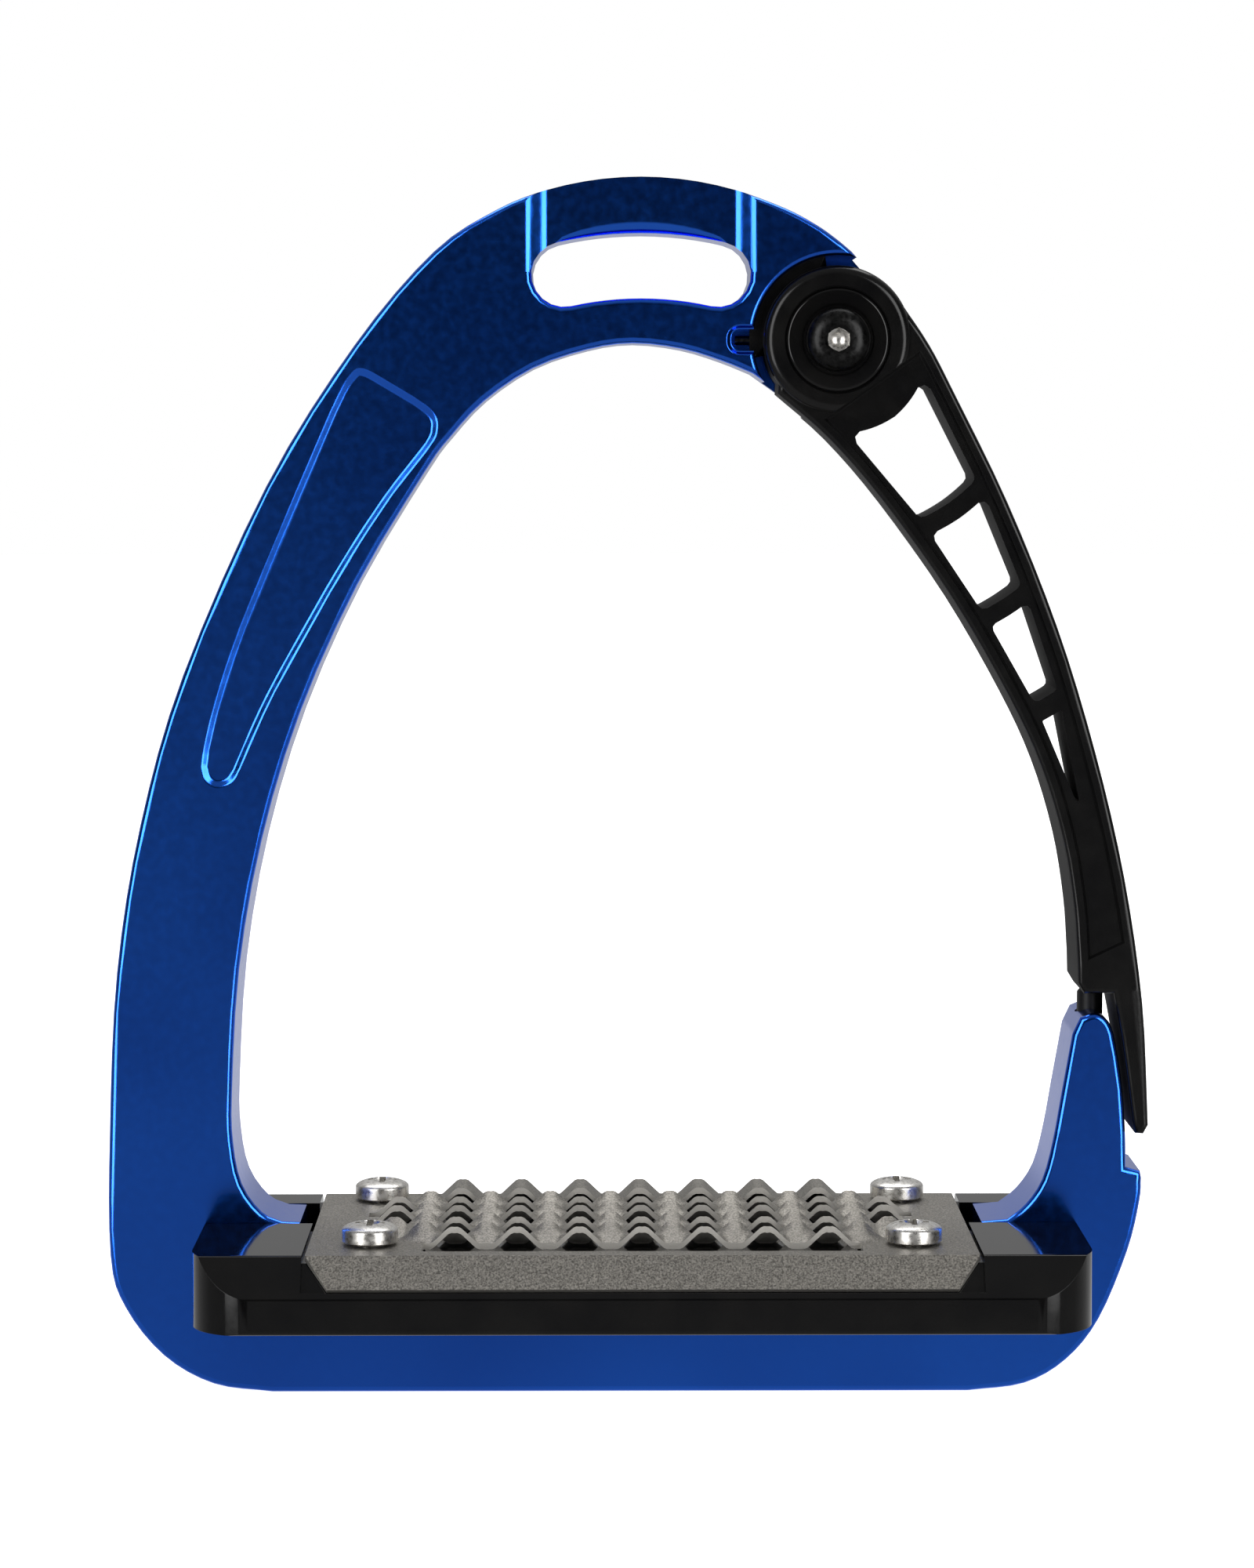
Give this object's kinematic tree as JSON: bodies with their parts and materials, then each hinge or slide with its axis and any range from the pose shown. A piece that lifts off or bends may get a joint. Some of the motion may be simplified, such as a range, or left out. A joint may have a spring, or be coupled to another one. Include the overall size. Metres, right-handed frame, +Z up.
{
  "type": "safety stirrup iron",
  "caption": "Flat alloy stirrup iron with a strap slot, a sprung lattice release arm on the open side and a moulded tread under a lanced steel grip plate",
  "frame": {"origin": "on the flat underside of the bottom bar, below the middle of the strap slot, half way through the thickness of the frame", "axes": "+X across the foot towards the release arm, +Y from the front face to the back face, +Z up through the strap slot"},
  "size_m": [0.1519, 0.055, 0.1767],
  "materials": {
    "blue_lacquer": "glossy translucent blue lacquer over metal",
    "black_nylon_gloss": "glossy moulded nylon",
    "black_nylon_satin": "satin moulded nylon",
    "steel_satin": "bead-blasted warm grey",
    "steel_bright": "bright stainless",
    "steel_black": "black spring steel",
    "bronze": "plain bearing bronze"
  },
  "bodies": {
    "stirrup": {"frame": "blue_lacquer", "pivot_cap": "black_nylon_gloss", "pivot_screw": "steel_black", "pivot_bush": "bronze", "thrust_washer": "steel_bright", "pivot_nut": "steel_bright", "torsion_spring": "steel_black", "latch_stud": "black_nylon_satin", "tread_base": "black_nylon_gloss", "grip_plate": "steel_satin", "tread_screw_1": "steel_bright", "tread_screw_2": "steel_bright", "tread_screw_3": "steel_bright", "tread_screw_4": "steel_bright", "tread_nut_1": "steel_bright", "tread_nut_2": "steel_bright", "tread_nut_3": "steel_bright", "tread_nut_4": "steel_bright", "bar_screw_1": "steel_bright", "bar_screw_2": "steel_bright"},
    "arm": {"safety_arm": "black_nylon_gloss"}
  },
  "joints": [
    {"name": "arm_hinge", "type": "hinge", "parent": "stirrup", "child": "arm", "pos_m": [0.0282, 0, 0.1534], "axis": [0, -1, 0], "range_deg": [0, 70], "stiffness_Nm_per_rad": 0.25, "springref_deg": -57.3}
  ]
}
